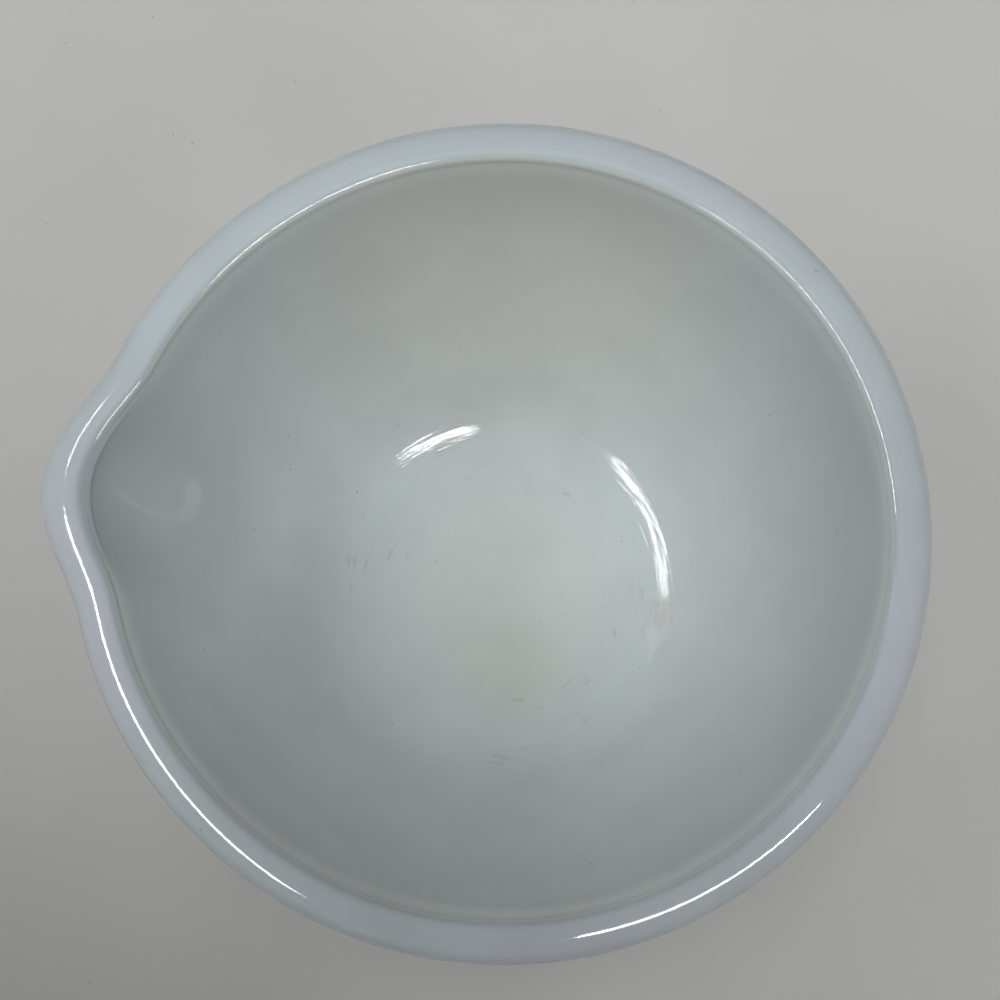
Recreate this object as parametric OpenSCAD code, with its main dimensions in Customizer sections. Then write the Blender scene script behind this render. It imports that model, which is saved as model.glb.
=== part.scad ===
// A pressed milk glass mixing bowl: a low foot ring, a flat floor with a wide
// inside corner, a gently curved side, a heavy rounded collar round the mouth
// and one pouring lip. All lengths are in millimetres.
//
// The axis of the bowl is Z and points up, the lip points along -X, and the
// origin is on the axis at the plane that the foot stands on.
//
// The bowl is one pressing. It is drawn as the regions of that pressing, each
// a solid of its own, and they meet face to face on flat seams.

/* [Whole bowl] */
// Height from the standing plane to the crown of the collar
bowl_h = 121; // [105:1:150]
// Radius of the mouth at the inner edge of the collar
mouth_r = 104; // [95:1:120]
// Thickness of the side wall
wall_t = 5.5; // [4:0.5:7]
// Radius of the long curve of the side, on the inside
side_curve_r = 226; // [180:2:400]

/* [Floor] */
// Radius of the flat part of the floor
floor_r = 42; // [36:1:48]
// Radius of the inside corner between the floor and the side
corner_r = 35; // [26:1:42]
// Thickness of the glass over the recess in the foot
floor_t = 6.5; // [5:0.5:10]
// Height above the floor to which the heel turns up before the side begins
heel_rise = 10; // [5:0.5:14]

/* [Foot ring] */
// Outside radius of the foot ring
foot_r = 54; // [50:1:58]
// Width of the foot ring
foot_w = 8; // [4:0.5:12]
// Height of the foot ring
foot_h = 3.5; // [2:0.5:6]
// Width of the cove where the base spreads out over the foot ring
foot_cove_w = 3; // [1:0.5:5]
// Bevel at the inner lower edge of the foot ring
foot_bevel = 0.8; // [0.2:0.1:1.5]

/* [Collar] */
// Width of the collar, from the inner edge of the mouth to its outside
collar_w = 13.1; // [12.8:0.1:18]
// Height of the collar
collar_h = 18; // [17:0.5:26]
// Radius of the domed crown, from the inner edge round to the outside
crown_r = 11.5; // [7:0.5:11.5]
// Radius of the rounded inner edge of the mouth
edge_r = 1.2; // [0.6:0.1:1.5]
// Radius of the lower outside edge of the collar
under_r = 5; // [2:0.5:6]
// Radius of the cove between the collar and the side
cove_r = 3; // [1:0.5:4]
// Height of the upright face between the inner edge and the ledge
face_h = 1; // [0.2:0.1:2]
// Width of the narrow ledge just inside the mouth
ledge_w = 2; // [0.5:0.1:3]
// Fall of the ledge across its width
ledge_fall = 1.9; // [0.5:0.1:3]

/* [Pouring lip] */
// Angle either side of the lip over which the collar flares towards it
flare_half_angle = 63; // [50:1:80]
// How far the outside of the collar flares out
flare_out = 2.1; // [1:0.1:5]
// How far the inner edge flares out
flare_in = 2; // [0.5:0.1:2.8]
// Angle either side of the lip that its beak covers
beak_half_angle = 18.5; // [12:0.5:30]
// How far the outside of the beak stands out past the flare
beak_out = 10.3; // [10:0.1:14]
// How far the inner edge of the beak stands out past the flare
beak_in = 8; // [3:0.1:8.6]
// How far the crown dips at the middle of the beak
beak_dip = 1.5; // [0:0.1:3]
// Radius of the rounded inner edge at the middle of the beak
beak_edge_r = 3; // [1:0.1:3.6]
// Depth below the crown at which the pouring channel starts
channel_depth = 55; // [42:1:65]

/* [Hidden] */
$fn = 96;

// Milk glass
glass_colour = [0.84, 0.87, 0.88];

// Heights of the seams and faces
floor_z = foot_h + floor_t;
heel_top_z = floor_z + heel_rise;
lip_base_z = bowl_h - channel_depth;
collar_low_z = bowl_h - collar_h;
collar_base_z = collar_low_z - cove_r;

// Share of the beak's reach that the outside of the wall under it takes
beak_wall_share = 0.7;
// Share of the ledge that is lost at the middle of the beak
ledge_loss_share = 0.9;
// Spread of the lip's sections: 1 is even, more is closer at the beak
lip_spread = 1.3;

// Counts of straight steps along the curves
corner_steps = 10;
side_steps = 18;
neck_steps = 10;
ledge_steps = 6;
lip_side_steps = 10;
lip_back_steps = 6;
edge_steps = 4;
crown_steps = 9;
under_steps = 4;
cove_steps = 3;
lip_half_steps = 22;

// The rounded inner edge lies inside the domed crown and touches it. Its
// centre's height follows from where the two arcs stand.
function edge_centre_z(top, crown_x, edge_x, edge) =
    top - crown_r + sqrt(pow(crown_r - edge, 2) - pow(crown_x - edge_x, 2));

edge_z = edge_centre_z(bowl_h, mouth_r + collar_w - crown_r, mouth_r + edge_r, edge_r);
ledge_z = edge_z - face_h - ledge_fall;

// The corner's arc and the side's long arc touch each other, and the side's
// arc ends at the ledge. The side's centre is where two circles cross: one
// round the corner's centre and one round the ledge.
corner_centre = [floor_r, floor_z + corner_r];
side_end = [mouth_r - ledge_w, ledge_z];
span = norm(side_end - corner_centre);
span_dir = (side_end - corner_centre) / span;
near_r = side_curve_r - corner_r;
along = (near_r * near_r - side_curve_r * side_curve_r + span * span) / (2 * span);
across = sqrt(near_r * near_r - along * along);
side_centre = corner_centre + along * span_dir + across * [-span_dir[1], span_dir[0]];
corner_end_dir = (corner_centre - side_centre) / norm(corner_centre - side_centre);

// Radius at height z of the surface that lies t outside the inside surface
function side_r_at(z, t) =
    z < corner_centre[1] + (corner_r + t) * corner_end_dir[1]
        ? corner_centre[0] + sqrt(pow(corner_r + t, 2) - pow(z - corner_centre[1], 2))
        : side_centre[0] + sqrt(pow(side_curve_r + t, 2) - pow(z - side_centre[1], 2));
function inner_r_at(z) = side_r_at(z, 0);
function outer_r_at(z) = side_r_at(z, wall_t);

function arc(centre, r, from, to, steps) =
    [for (i = [0:steps])
        let (a = from + (to - from) * i / steps)
        centre + r * [cos(a), sin(a)]];
// All of a list but its first point
function tail(list) = [for (i = [1:len(list) - 1]) list[i]];

// Lines up the inside and the outside of the side
function inner_line(from, to, steps) =
    [for (i = [0:steps])
        let (z = from + (to - from) * i / steps)
        [inner_r_at(z), z]];
function outer_line(from, to, steps) =
    [for (i = [0:steps])
        let (z = from + (to - from) * i / steps)
        [outer_r_at(z), z]];

// Outline of the collar from the foot of the upright face above the ledge,
// over the crown, to the lower outside edge
function collar_outline(top, rim_r, out_r, edge, low) =
    let (crown_centre = [out_r - crown_r, top - crown_r],
         edge_x = rim_r + edge,
         edge_z = edge_centre_z(top, crown_centre[0], edge_x, edge),
         tilt = asin((crown_centre[0] - edge_x) / (crown_r - edge)))
    concat(
        [[rim_r, edge_z - face_h]],
        arc([edge_x, edge_z], edge, 180, 90 + tilt, edge_steps),
        tail(arc(crown_centre, crown_r, 90 + tilt, 0, crown_steps)),
        arc([out_r - under_r, low + under_r], under_r, 0, -90, under_steps));

module foot_ring() {
    color(glass_colour)
        rotate_extrude()
            polygon([
                [foot_r - foot_w + foot_bevel, 0],
                [foot_r, 0],
                [foot_r, foot_h],
                [foot_r - foot_w, foot_h],
                [foot_r - foot_w, foot_bevel]]);
}

module floor_disc() {
    color(glass_colour)
        translate([0, 0, foot_h])
            cylinder(h = floor_t, r = floor_r);
}

// The heel: the glass between the floor and the side, which turns up from the
// floor's edge and spreads out over the foot ring
module heel_ring() {
    top_angle = asin((heel_top_z - corner_centre[1]) / corner_r);
    cove_x = foot_r + foot_cove_w;
    cove_z = outer_foot_z(cove_x);
    outer_top_angle = asin((heel_top_z - corner_centre[1]) / (corner_r + wall_t));
    outer_low_angle = -acos((cove_x - corner_centre[0]) / (corner_r + wall_t));
    color(glass_colour)
        rotate_extrude()
            polygon(concat(
                [[floor_r, foot_h], [foot_r, foot_h]],
                [for (i = [1:cove_steps])
                    [foot_r + foot_cove_w * (1 - cos(90 * i / cove_steps)),
                     foot_h + (cove_z - foot_h) * sin(90 * i / cove_steps)]],
                tail(arc(corner_centre, corner_r + wall_t,
                         outer_low_angle, outer_top_angle, corner_steps)),
                arc(corner_centre, corner_r, top_angle, -90, corner_steps)));
}

// Height of the outside of the corner at radius x, near the foot
function outer_foot_z(x) =
    corner_centre[1] - sqrt(pow(corner_r + wall_t, 2) - pow(x - corner_centre[0], 2));

// The side below the pouring channel, whole all round
module lower_wall() {
    color(glass_colour)
        rotate_extrude()
            polygon(concat(
                outer_line(heel_top_z, lip_base_z, side_steps),
                inner_line(lip_base_z, heel_top_z, side_steps)));
}

// Turns an outline round the axis everywhere but at the lip
module beside_lip() {
    rotate([0, 0, flare_half_angle - 180])
        rotate_extrude(angle = 360 - 2 * flare_half_angle)
            children();
}

// The side from the foot of the pouring channel up to the collar
module upper_wall() {
    color(glass_colour)
        beside_lip()
            polygon(concat(
                outer_line(lip_base_z, collar_base_z, neck_steps),
                inner_line(collar_base_z, lip_base_z, neck_steps)));
}

module rim_collar() {
    wall_r = outer_r_at(collar_base_z);
    color(glass_colour)
        beside_lip()
            polygon(concat(
                inner_line(collar_base_z, ledge_z, ledge_steps),
                collar_outline(bowl_h, mouth_r, mouth_r + collar_w, edge_r, collar_low_z),
                arc([wall_r + cove_r, collar_base_z], cove_r, 90, 180, cove_steps)));
}

// How the lip grows with the angle phi from its middle: a long low flare and
// a short beak, each rising and falling as one wave
function wave(phi, half_angle) =
    abs(phi) < half_angle ? (1 + cos(180 * phi / half_angle)) / 2 : 0;
function beak(phi) = wave(phi, beak_half_angle);
function flare(phi) = wave(phi, flare_half_angle);
// Share of the lip's reach at share s of the way up the channel
function ease(s) = s * s * (3 - 2 * s);

// Cross-section of the lip and the wall under it at the angle phi
function lip_section(phi) =
    let (reach_in = flare_in * flare(phi) + beak_in * beak(phi),
         reach_out = flare_out * flare(phi) + beak_out * beak(phi),
         dip = beak_dip * beak(phi),
         edge = edge_r + (beak_edge_r - edge_r) * beak(phi),
         kept = 1 - ledge_loss_share * beak(phi),
         top = bowl_h - dip,
         rim_r = mouth_r + reach_in,
         out_r = mouth_r + collar_w + reach_out,
         rim_edge_z = edge_centre_z(top, out_r - crown_r, rim_r + edge, edge),
         rim_ledge_z = rim_edge_z - face_h - ledge_fall * kept,
         wall_reach = beak_wall_share * reach_out,
         wall_r = outer_r_at(collar_base_z) + wall_reach)
    concat(
        [for (i = [0:lip_side_steps])
            let (s = i / lip_side_steps)
            [inner_r_at(lip_base_z + s * (ledge_z - lip_base_z))
                 + ease(s) * (reach_in + ledge_w * (1 - kept)),
             lip_base_z + s * (rim_ledge_z - lip_base_z)]],
        collar_outline(top, rim_r, out_r, edge, collar_low_z - dip),
        arc([wall_r + cove_r, collar_base_z - dip], cove_r, 90, 180, cove_steps),
        [for (i = [1:lip_back_steps])
            let (s = 1 - i / lip_back_steps)
            [outer_r_at(lip_base_z + s * (collar_base_z - lip_base_z)) + ease(s) * wall_reach,
             lip_base_z + s * (collar_base_z - dip - lip_base_z)]]);

module pouring_lip() {
    angles = [for (i = [-lip_half_steps:lip_half_steps])
        sign(i) * flare_half_angle * pow(abs(i) / lip_half_steps, lip_spread)];
    sections = [for (phi = angles) lip_section(phi)];
    n = len(sections[0]);
    last = len(angles) - 1;
    points = [for (j = [0:last]) for (p = sections[j])
        [-p[0] * cos(angles[j]), -p[0] * sin(angles[j]), p[1]]];
    sides = [for (j = [0:last - 1]) for (k = [0:n - 1])
        let (a = j * n + k,
             b = j * n + (k + 1) % n,
             c = a + n,
             d = b + n)
        each [[a, b, d], [a, d, c]]];
    color(glass_colour)
        polyhedron(
            points = points,
            faces = concat(
                [[for (k = [0:n - 1]) n - 1 - k]],
                sides,
                [[for (k = [0:n - 1]) last * n + k]]),
            convexity = 6);
}

foot_ring();
floor_disc();
heel_ring();
lower_wall();
upper_wall();
rim_collar();
pouring_lip();
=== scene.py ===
import math

import bpy
from mathutils import Matrix, Vector


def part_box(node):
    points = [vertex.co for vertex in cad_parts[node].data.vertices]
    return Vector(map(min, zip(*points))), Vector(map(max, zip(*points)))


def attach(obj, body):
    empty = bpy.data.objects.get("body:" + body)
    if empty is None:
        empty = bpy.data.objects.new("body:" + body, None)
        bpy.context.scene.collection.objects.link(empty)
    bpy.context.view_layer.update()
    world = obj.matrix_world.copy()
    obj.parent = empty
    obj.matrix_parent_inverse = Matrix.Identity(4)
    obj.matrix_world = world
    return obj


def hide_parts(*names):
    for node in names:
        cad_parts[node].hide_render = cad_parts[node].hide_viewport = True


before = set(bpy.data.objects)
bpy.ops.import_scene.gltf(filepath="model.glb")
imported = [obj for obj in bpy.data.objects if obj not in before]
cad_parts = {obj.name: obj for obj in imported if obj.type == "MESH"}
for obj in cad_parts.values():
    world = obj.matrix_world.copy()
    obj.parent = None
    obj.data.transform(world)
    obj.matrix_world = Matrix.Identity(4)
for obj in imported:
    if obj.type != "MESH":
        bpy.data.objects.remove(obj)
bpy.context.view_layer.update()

# Camera
# It looks down on the bowl from a little towards the lower edge of the picture, nearly level.
# The square picture is the upper part of a taller frame, so the lens axis lies below its
# middle, and the shift puts it there. The lip lies at the picture's left.
mm = 0.001
picture_px = 1000
focal_px = 963
lens_axis_px = 667
picture_turn = math.radians(6.33)
camera_tilt = math.radians(5.0)
camera_lean = math.radians(0.73)


def in_picture(right, up, above):
    """A place in metres along the picture's right and up, and above the table."""
    return Matrix.Rotation(picture_turn, 3, "Z") @ Vector((right, up, above))


bpy.ops.object.select_all(action="DESELECT")
bpy.ops.object.camera_add(
    location=in_picture(2.5 * mm, -60.5 * mm, 371.9 * mm),
    rotation=(camera_tilt, camera_lean, picture_turn))
camera = bpy.context.object
camera.name = "phone_camera"
camera.data.lens = focal_px / picture_px * camera.data.sensor_width
camera.data.shift_y = (lens_axis_px - picture_px / 2) / picture_px
camera.data.clip_start = 10 * mm
bpy.context.scene.camera = camera

# Bowl, one pressing of milk glass
# Molten opal glass was pressed between a mould and a plunger, and the mould gave it the foot
# ring, the heavy rounded collar and the pouring lip. The outline of its wall is drawn once,
# turned round the axis, and the lip is then drawn out of the collar.
foot_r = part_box("foot_ring")[1].x
foot_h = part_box("foot_ring")[1].z
floor_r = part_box("floor_disc")[1].x
floor_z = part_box("floor_disc")[1].z
bowl_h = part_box("rim_collar")[1].z
collar_out_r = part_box("rim_collar")[1].x
collar_base_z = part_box("rim_collar")[0].z
lip_base_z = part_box("pouring_lip")[0].z
foot_w = 8 * mm
foot_bevel = 0.8 * mm
foot_cove_w = 3 * mm
corner_r = 35 * mm
wall_t = 5.5 * mm
side_curve_r = 226 * mm
collar_w = 13.1 * mm
crown_r = 11.5 * mm
under_r = 5 * mm
cove_r = 3 * mm
ledge_w = 2 * mm
ledge_fall = 1.9 * mm

# The inner edge of the collar is worn a little rounder here than in the solids, and its arc
# ends at this bearing, where the steep slope down to the ledge begins
edge_r = 2.2 * mm
edge_end = 150

# Centres of the outline's arcs, each as its distance from the axis and its height
mouth_r = collar_out_r - collar_w
crown = Vector((collar_out_r - crown_r, bowl_h - crown_r))
edge_x = mouth_r + edge_r
edge = Vector((edge_x, crown.y + math.sqrt((crown_r - edge_r) ** 2 - (crown.x - edge_x) ** 2)))
under = Vector((collar_out_r - under_r, collar_base_z + cove_r + under_r))
corner = Vector((floor_r, floor_z + corner_r))

# The corner's arc and the side's long arc touch, and the side's arc ends at the ledge
ledge_in = Vector((mouth_r - ledge_w, edge.y - ledge_fall))
span = ledge_in - corner
near_r = side_curve_r - corner_r
along = (near_r ** 2 - side_curve_r ** 2 + span.length ** 2) / (2 * span.length)
across = math.sqrt(near_r ** 2 - along ** 2)
side = corner + along * span.normalized() + across * Vector((-span.y, span.x)).normalized()


def bearing(centre, point):
    """Angle in degrees of a point seen from an arc's centre, 0 outwards and 90 up."""
    return math.degrees(math.atan2(point.y - centre.y, point.x - centre.x))


# The outline is drawn from under the middle of the floor, out and up, and back down inside
middle_r = 12 * mm
bpy.ops.mesh.primitive_plane_add(size=foot_h)
bowl = bpy.context.object
bowl.name = "bowl_glass"
bpy.ops.object.mode_set(mode="EDIT")
bpy.ops.mesh.merge(type="CENTER")
bpy.ops.transform.translate(value=(middle_r, 0, foot_h))
pen = Vector((middle_r, foot_h))


def line_to(x, z, steps=1):
    """Draws the outline on, straight to a point."""
    global pen
    step = (Vector((x, z)) - pen) / steps
    for _ in range(steps):
        bpy.ops.mesh.extrude_region_move(TRANSFORM_OT_translate={"value": (step.x, 0, step.y)})
    pen = Vector((x, z))


def arc_to(centre, degrees, steps):
    """Draws the outline on, the short way round a centre, to the bearing given."""
    global pen
    turn = math.remainder(math.radians(degrees - bearing(centre, pen)), math.tau)
    bpy.ops.mesh.spin(steps=steps, angle=turn, center=(centre.x, 0, centre.y), axis=(0, 1, 0))
    pen = centre + Matrix.Rotation(turn, 2) @ (pen - centre)


side_bearing = bearing(side, corner)
cove_x = foot_r + foot_cove_w
cove_z = corner.y - math.sqrt((corner_r + wall_t) ** 2 - (cove_x - corner.x) ** 2)
collar_root = side + Vector((
    math.sqrt((side_curve_r + wall_t) ** 2 - (collar_base_z - side.y) ** 2),
    collar_base_z - side.y))
line_to(foot_r - foot_w, foot_h, steps=3)
line_to(foot_r - foot_w, foot_bevel)
line_to(foot_r - foot_w + foot_bevel, 0)
line_to(foot_r, 0, steps=2)
line_to(foot_r, foot_h)
for turn in (30, 60, 90):
    line_to(foot_r + foot_cove_w * (1 - math.cos(math.radians(turn))),
            foot_h + (cove_z - foot_h) * math.sin(math.radians(turn)))
arc_to(corner, side_bearing, steps=6)
arc_to(side, bearing(side, collar_root), steps=14)
arc_to(collar_root + Vector((cove_r, 0)), 90, steps=3)
line_to(under.x, collar_base_z + cove_r, steps=2)
arc_to(under, 0, steps=4)
line_to(collar_out_r, crown.y)
arc_to(crown, bearing(crown, edge), steps=12)
arc_to(edge, edge_end, steps=5)
line_to(ledge_in.x, ledge_in.y, steps=4)
arc_to(side, side_bearing, steps=18)
arc_to(corner, -90, steps=10)
line_to(middle_r, floor_z, steps=3)

# The outline is turned once round the axis, and a grid of faces closes the middle of the
# floor, above and below
columns = 192
point_reach = 0.1 * mm
bpy.ops.mesh.select_all(action="SELECT")
bpy.ops.mesh.spin(steps=columns, angle=math.tau, center=(0, 0, 0), axis=(0, 0, 1))
bpy.ops.mesh.select_all(action="SELECT")
bpy.ops.mesh.remove_doubles(threshold=0.001 * mm)
for height in (foot_h, floor_z):
    bpy.ops.mesh.select_all(action="DESELECT")
    bpy.ops.object.mode_set(mode="OBJECT")
    for point in bowl.data.vertices:
        r = math.hypot(point.co.x, point.co.y)
        point.select = abs(point.co.z - height) < point_reach and r < middle_r + point_reach
    bpy.ops.object.mode_set(mode="EDIT")
    bpy.ops.mesh.fill_grid(span=columns // 4)
bpy.ops.mesh.select_all(action="SELECT")
bpy.ops.mesh.normals_make_consistent(inside=False)
bpy.ops.object.mode_set(mode="OBJECT")

# The lip is drawn out of the collar and the wall under it, by the waves that the solids follow.
# On the way the points are marked: `outside` is 0 where the plunger made the surface, `ledge`
# is 1 on the narrow slope under the inner edge, and `seam` follows the line between them and
# is highest beside the lip; it weighs the painted shade in that crease, and beside the lip the
# grime specks too.
flare_half_turn = math.radians(63)
flare_out = 2.1 * mm
flare_in = 2 * mm
beak_half_turn = math.radians(18.5)
beak_out = 10.3 * mm
beak_in = 8 * mm
beak_dip = 1.5 * mm
beak_wall_share = 0.7
ledge_loss_share = 0.9
point_gap = 0.25 * mm
skin_t = wall_t / 4
turn_top_z = corner.y - corner_r / 2
floor_out_r = foot_r - 2 * foot_w
seam_away = 0.2

# The ring of the mould that closed round the plunger was a little small and off to one side,
# so the inner edge of the collar overhangs the ledge most at the far side
press_off = 0.87 * mm
press_towards = in_picture(0, 1, 0).xy
crest_r = mouth_r + 8 * mm


def wave(turn, half_turn):
    """One smooth wave that is 1 at the middle and 0 beyond the half turn."""
    return (1 + math.cos(math.pi * turn / half_turn)) / 2 if abs(turn) < half_turn else 0


def ease(share):
    """Eases a share from 0 to 1 in and out."""
    share = min(max(share, 0), 1)
    return share * share * (3 - 2 * share)


outside = bowl.data.attributes.new("outside", "FLOAT", "POINT")
ledge = bowl.data.attributes.new("ledge", "FLOAT", "POINT")
seam = bowl.data.attributes.new("seam", "FLOAT", "POINT")
for point in bowl.data.vertices:
    r = math.hypot(point.co.x, point.co.y)
    z = point.co.z
    in_section = Vector((r, z))
    side_depth = (in_section - side).length - side_curve_r
    corner_depth = (in_section - corner).length - corner_r
    if r < floor_r:
        plunged = z > floor_z - skin_t and (r < floor_out_r or corner_depth < skin_t)
    elif z < turn_top_z:
        plunged = corner_depth < skin_t
    else:
        plunged = side_depth < skin_t and z < ledge_in.y + point_gap
    under_edge = r < mouth_r + 2 * point_gap and z > ledge_in.y - point_gap
    pressed = ease((crest_r - r) / (crest_r - mouth_r)) * ease((r - ledge_in.x) / ledge_w)
    turn = math.atan2(point.co.y, -point.co.x)
    beak = wave(turn, beak_half_turn)
    flare = wave(turn, flare_half_turn)
    outside.data[point.index].value = 0 if plunged else beak if under_edge else 1
    if under_edge and r < mouth_r:
        seam_share = (seam_away + (1 - seam_away) * flare) * (1 - beak)
        ledge.data[point.index].value = 1 - beak if z < edge.y else 0
        seam.data[point.index].value = seam_share if z > edge.y else 0
    if z <= lip_base_z:
        continue
    reach_in = flare_in * flare + beak_in * beak
    reach_out = flare_out * flare + beak_out * beak
    climb = (z - lip_base_z) / (ledge_in.y - lip_base_z)
    if plunged:
        pull = ease(climb) * (reach_in + ledge_w * ledge_loss_share * beak)
    elif z < under.y:
        wall_share = beak_wall_share * ease((z - lip_base_z) / (collar_base_z - lip_base_z))
        spread = max(r - collar_root.x, 0) / (collar_out_r - collar_root.x)
        pull = reach_out * (wall_share + (1 - wall_share) * spread)
    else:
        pull = reach_in + (reach_out - reach_in) * max(r - mouth_r, 0) / collar_w
        pull -= press_off * (1 + point.co.xy @ press_towards / r) * pressed * (1 - beak)
    point.co.z -= beak_dip * beak * min(climb, 1)
    point.co.xy *= (r + pull) / r

smooth = bowl.modifiers.new("smooth", "SUBSURF")
smooth.levels = 1
smooth.render_levels = 1
bpy.ops.object.modifier_apply(modifier="smooth")
bpy.ops.object.shade_smooth()

# The glass is dense and even, a little greener inside, where years of beaters have scuffed
# the turn of the floor, and a little bluer on the collar and outside, where it is painted darker
# as shade.
glass = bpy.data.materials.new("milk_glass")
glass.use_nodes = True
nodes = glass.node_tree.nodes
links = glass.node_tree.links
shader = nodes["Principled BSDF"]


def value_of(kind, *inputs, **settings):
    """Adds a node with these settings, joins or sets its first inputs, and gives its output."""
    made = nodes.new("ShaderNode" + kind)
    for name, setting in settings.items():
        setattr(made, name, setting)
    for socket, given in zip(made.inputs, inputs):
        if isinstance(given, bpy.types.NodeSocket):
            links.new(given, socket)
        elif given is not None:
            socket.default_value = given
    return made.outputs[0]


def step_up(given, low, high, to_low=0.0, to_high=1.0):
    """Maps a value smoothly from one range to another."""
    return value_of("MapRange", given, low, high, to_low, to_high, interpolation_type="SMOOTHSTEP")


def times(one, other):
    return value_of("Math", one, other, operation="MULTIPLY")


def plus(one, other):
    return value_of("Math", one, other, operation="ADD")


def one_minus(amount):
    return value_of("Math", 1.0, amount, operation="SUBTRACT")


def length_of(vector):
    return value_of("VectorMath", vector, operation="LENGTH").node.outputs["Value"]


def distance(one, other):
    return value_of("VectorMath", one, other, operation="DISTANCE").node.outputs["Value"]


def blend(share, one, other):
    """Mixes two colours by a share."""
    made = nodes.new("ShaderNodeMix")
    made.data_type = "RGBA"
    for name, given in (("Factor", share), ("A", one), ("B", other)):
        socket = [each for each in made.inputs if each.name == name and each.enabled][0]
        if isinstance(given, bpy.types.NodeSocket):
            links.new(given, socket)
        else:
            socket.default_value = given
    return [each for each in made.outputs if each.enabled][0]


def darkened(colour, amount):
    """Multiplies a colour by one minus an amount."""
    return value_of("VectorMath", colour, None, None, one_minus(amount), operation="SCALE")


def noise(place, scale, detail=2.0):
    return value_of("TexNoise", place, None, scale, detail)


def marked(name):
    """Reads what the points of the mesh were marked with."""
    made = nodes.new("ShaderNodeAttribute")
    made.attribute_name = name
    return made.outputs["Fac"]


def round_bowl(turns, rings):
    """A place for patterns that run round the axis, stretched along and closely ringed."""
    return value_of("CombineXYZ", times(bearing_round, turns), times(from_axis, rings), 0.0)


place = nodes.new("ShaderNodeTexCoord").outputs["Object"]
from_axis = length_of(value_of("VectorMath", place, (1, 1, 0), operation="MULTIPLY"))
apart = value_of("SeparateXYZ", place).node
bearing_round = value_of("Math", apart.outputs["Y"], apart.outputs["X"], operation="ARCTAN2")
is_outside = marked("outside")
is_inside = one_minus(is_outside)

# The plunged surface is palest on the floor, partly its own tone and partly painted light, with
# a greenish spot, bluest round the turn of the floor, and darker and warmer high on the far side
# as painted shade. The moulded surface is darker, also painted shade, and bluer.
side_colour = (0.597, 0.642, 0.642, 1)
turn_colour = (0.6, 0.66, 0.667, 1)
floor_tone_and_light_colour = (0.673, 0.71, 0.697, 1)
green_colour = (0.595, 0.66, 0.61, 1)
far_shade_colour = (0.565, 0.588, 0.56, 1)
collar_shaded_colour = (0.47, 0.53, 0.56, 1)
collar_shaded_blue = (0.49, 0.525, 0.58, 1)
green_spot = tuple(in_picture(2 * mm, -31 * mm, floor_z))
far_shade_spot = tuple(in_picture(0, 95 * mm, 80 * mm))
on_turn = step_up(from_axis, floor_r + 34 * mm, floor_r + 14 * mm)
on_floor = step_up(from_axis, floor_r + 14 * mm, floor_r - 20 * mm)
is_green = times(step_up(distance(place, green_spot), 30 * mm, 6 * mm), 0.6)
on_far_shade = step_up(distance(place, far_shade_spot), 100 * mm, 30 * mm)
plunged_colour = blend(on_turn, side_colour, turn_colour)
plunged_colour = blend(on_floor, plunged_colour, floor_tone_and_light_colour)
plunged_colour = blend(is_green, plunged_colour, green_colour)
plunged_colour = blend(on_far_shade, plunged_colour, far_shade_colour)
is_bluer = step_up(noise(place, 9.0, 1.0), 0.4, 0.6)
moulded_shaded_colour = blend(is_bluer, collar_shaded_colour, collar_shaded_blue)
colour = blend(is_inside, moulded_shaded_colour, plunged_colour)
cloud = step_up(noise(place, 38.0, 3.0), 0.3, 0.7, 0.0, 0.05)
colour = darkened(colour, cloud)

# The inside is darker round the lip's channel
channel_spot = tuple(in_picture(-98 * mm, 13 * mm, 92 * mm))
channel_darkening = times(step_up(distance(place, channel_spot), 45 * mm, 10 * mm), is_inside)
colour = darkened(colour, times(channel_darkening, 0.13))

# Scuffs run round the turn of the floor in short arcs. The ledge is painted paler, as painted
# light where it faces up, and the line above it is darker, as painted shade in its crease, most
# beside the lip, where specks of grime lie too. A few specks lie everywhere.
ledge_lit_colour = (0.72, 0.76, 0.745, 1)
arcs = step_up(noise(round_bowl(5.0, 420.0), 1.0, 3.0), 0.61, 0.69)
patchy = step_up(noise(place, 45.0, 1.0), 0.5, 0.6)
worn_out = step_up(from_axis, floor_r + 32 * mm, floor_r + 18 * mm)
worn_in = step_up(from_axis, floor_r - 8 * mm, floor_r)
worn = times(times(worn_out, worn_in), is_inside)
scuffs = times(times(arcs, patchy), worn)
in_seam_shade_and_grime = marked("seam")
grime = times(step_up(noise(place, 420.0, 3.0), 0.55, 0.68), step_up(in_seam_shade_and_grime, 0.5, 1.0))
specks = step_up(noise(place, 520.0, 1.0), 0.79, 0.82)
colour = darkened(colour, times(scuffs, 0.13))
# Painted light on the ledge, where it faces up
colour = blend(times(marked("ledge"), 0.35), colour, ledge_lit_colour)
# Painted shade in the crease above the ledge, deepest beside the lip
colour = darkened(colour, times(in_seam_shade_and_grime, 0.3))
colour = darkened(colour, times(grime, 0.3))
colour = darkened(colour, times(specks, 0.3))

# The skin is most worn in one ragged patch at the right of the floor's turn, twice as long as
# wide, with a brown stain at its upper end
stain_colour = (0.43, 0.44, 0.39, 1)
worst_spot = tuple(in_picture(57 * mm, -14 * mm, floor_z))
from_worst = value_of("VectorMath", place, worst_spot, operation="SUBTRACT")
from_worst = value_of("VectorMath", from_worst, (1, 0.5, 0), operation="MULTIPLY")
worst_edge = plus(length_of(from_worst), times(noise(place, 260.0, 3.0), 9 * mm))
worst = times(step_up(worst_edge, 10.5 * mm, 7 * mm), is_inside)
from_stain = distance(from_worst, (0.5 * mm, 2.5 * mm, 0))
stain_edge = plus(from_stain, times(noise(place, 420.0, 3.0), 4 * mm))
stained = times(times(step_up(stain_edge, 6.5 * mm, 3.5 * mm), 0.6), is_inside)
colour = darkened(colour, times(worst, 0.07))
colour = blend(stained, colour, stain_colour)
links.new(colour, shader.inputs["Base Color"])

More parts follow.
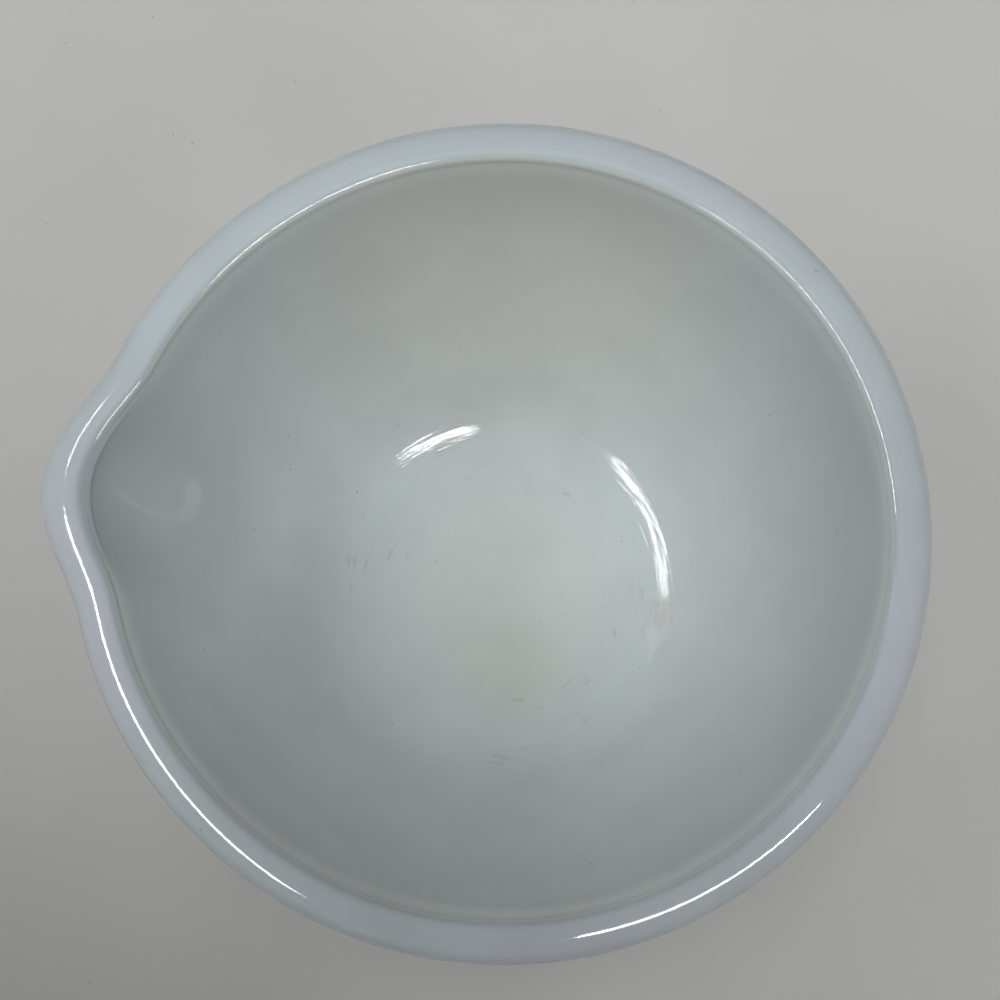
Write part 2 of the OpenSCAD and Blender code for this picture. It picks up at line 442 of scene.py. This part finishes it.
# Fire polishing left the glass bright. It is duller in that patch and a little on the collar,
# and some light scatters under its surface.
dull = step_up(noise(place, 90.0, 4.0), 0.35, 0.7, 0.02, 0.045)
dull = plus(dull, times(worst, 0.35))
dull = plus(dull, times(is_outside, 0.05))
links.new(dull, shader.inputs["Roughness"])
shader.inputs["IOR"].default_value = 1.52
shader.inputs["Subsurface Weight"].default_value = 0.2
shader.inputs["Subsurface Radius"].default_value = (1, 1, 1)
shader.inputs["Subsurface Scale"].default_value = 3 * mm


def relief(height, depth):
    """Adds a relief of this depth to the skin."""
    made = nodes.new("ShaderNodeBump")
    made.inputs["Strength"].default_value = 1.0
    made.inputs["Distance"].default_value = depth
    links.new(height, made.inputs["Height"])
    return made


# The skin is slightly wavy and finely pitted, and the beaters have drawn streaks round the
# turn of the floor
waves = relief(noise(place, 70.0, 1.0), 0.035 * mm)
pits = relief(noise(place, 650.0, 3.0), 0.05 * mm)
streaks = relief(noise(round_bowl(3.0, 950.0), 1.0, 2.0), 0.14 * mm)
links.new(step_up(worn, 0.0, 1.0, 0.3, 1.0), pits.inputs["Strength"])
links.new(worn, streaks.inputs["Strength"])
links.new(waves.outputs["Normal"], pits.inputs["Normal"])
links.new(pits.outputs["Normal"], streaks.inputs["Normal"])
links.new(streaks.outputs["Normal"], shader.inputs["Normal"])

bowl.data.materials.append(glass)
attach(bowl, "root")
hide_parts("foot_ring", "floor_disc", "heel_ring", "lower_wall", "upper_wall",
            "rim_collar", "pouring_lip")

# Table
# A pale painted top, matt and seamless as far as the picture reaches. The paint is slightly
# mottled, with painted light towards the upper right of the picture and painted shade towards
# the lower left, and a few specks of dust lie on it.
near_shaded_paint = (0.475, 0.475, 0.459, 1)
far_lit_paint = (0.56, 0.56, 0.543, 1)
bpy.ops.object.select_all(action="DESELECT")
bpy.ops.mesh.primitive_plane_add(size=3)
table = bpy.context.object
table.name = "table_top"
table_paint = bpy.data.materials.new("table_paint")
table_paint.use_nodes = True
nodes = table_paint.node_tree.nodes
links = table_paint.node_tree.links
shader = nodes["Principled BSDF"]
shader.inputs["Roughness"].default_value = 0.75
shader.inputs["Specular IOR Level"].default_value = 0.2
place = nodes.new("ShaderNodeTexCoord").outputs["Object"]
to_far_side = value_of("VectorMath", place, (0.9, 1.2, 0), operation="DOT_PRODUCT").node
far_side = step_up(to_far_side.outputs["Value"], -0.42, 0.4)
paint = blend(far_side, near_shaded_paint, far_lit_paint)
cloud = step_up(noise(place, 14.0, 4.0), 0.3, 0.7, 0.0, 0.035)
grain = times(noise(place, 900.0, 2.0), 0.03)
dust = times(step_up(noise(place, 260.0, 1.0), 0.79, 0.82), 0.25)
for amount in (cloud, grain, dust):
    paint = darkened(paint, amount)
links.new(paint, shader.inputs["Base Color"])
table.data.materials.append(table_paint)

# Light
# Two straight strips at right angles on a plain ceiling, and the ceiling's own soft light.
# A dark sheet out of sight shades the lower left of the picture. The room is pale to the eye
# and in the glass, and gives a little light of its own.
ceiling_h = 2.4
gleam_drop = 20 * mm


def panel(name, right, up, width, depth, watts):
    """Adds a lamp that faces down, squared to the picture, measured in ceiling heights."""
    bpy.ops.object.light_add(
        type="AREA", rotation=(0, 0, picture_turn),
        location=in_picture(right * ceiling_h, up * ceiling_h, ceiling_h))
    lamp = bpy.context.object
    lamp.name = name
    lamp.data.shape = "RECTANGLE"
    lamp.data.size = width * ceiling_h
    lamp.data.size_y = depth * ceiling_h
    lamp.data.energy = watts
    return lamp


def gleam(name, right, up, width, depth, watts):
    """Adds a lamp just under the ceiling that shows only as a reflection."""
    lamp = panel(name, right, up, width, depth, watts)
    lamp.location.z -= gleam_drop
    lamp.visible_diffuse = False


panel("ceiling_light", -0.03, -0.03, 0.7, 0.7, 36.5).visible_glossy = False
panel("left_strip", -1.17, -0.49, 0.55, 1.86, 80).visible_glossy = False
panel("near_strip", 0.88, -1.17, 1.23, 0.55, 54).visible_glossy = False
gleam("left_gleam", -1.17, -0.62, 0.19, 1.84, 225)
gleam("near_gleam", 1.03, -1.17, 1.53, 0.22, 240)
gleam("far_gleam", -1.06, 0.57, 0.08, 0.26, 9)

# The dark sheet hangs above the table, where neither the camera nor a reflection sees it
shade_place = in_picture(-0.15, -0.505, 0.44)
shade_size = (0.46, 0.89, 1)
shade_colour = (0.03, 0.03, 0.03, 1)
shade_cloth = bpy.data.materials.new("shade_cloth")
shade_cloth.use_nodes = True
nodes = shade_cloth.node_tree.nodes
nodes["Principled BSDF"].inputs["Base Color"].default_value = shade_colour
bpy.ops.mesh.primitive_plane_add(size=1, location=shade_place, rotation=(0, 0, picture_turn))
shade = bpy.context.object
shade.name = "photographer_shade"
shade.scale = shade_size
shade.visible_camera = False
shade.visible_glossy = False
shade.data.materials.append(shade_cloth)

# The room round the table
room_colour = (0.55, 0.55, 0.54, 1)
room_fill = 0.18
room = bpy.data.worlds.new("room")
bpy.context.scene.world = room
room.use_nodes = True
nodes = room.node_tree.nodes
links = room.node_tree.links
rays = nodes.new("ShaderNodeLightPath").outputs
seen = value_of("Math", rays["Is Camera Ray"], rays["Is Glossy Ray"], operation="MAXIMUM")
seen = value_of("Math", seen, rays["Is Transmission Ray"], operation="MAXIMUM")
nodes["Background"].inputs["Color"].default_value = room_colour
links.new(step_up(seen, 0.0, 1.0, room_fill, 1.0), nodes["Background"].inputs["Strength"])

bpy.context.scene.view_settings.view_transform = "Standard"
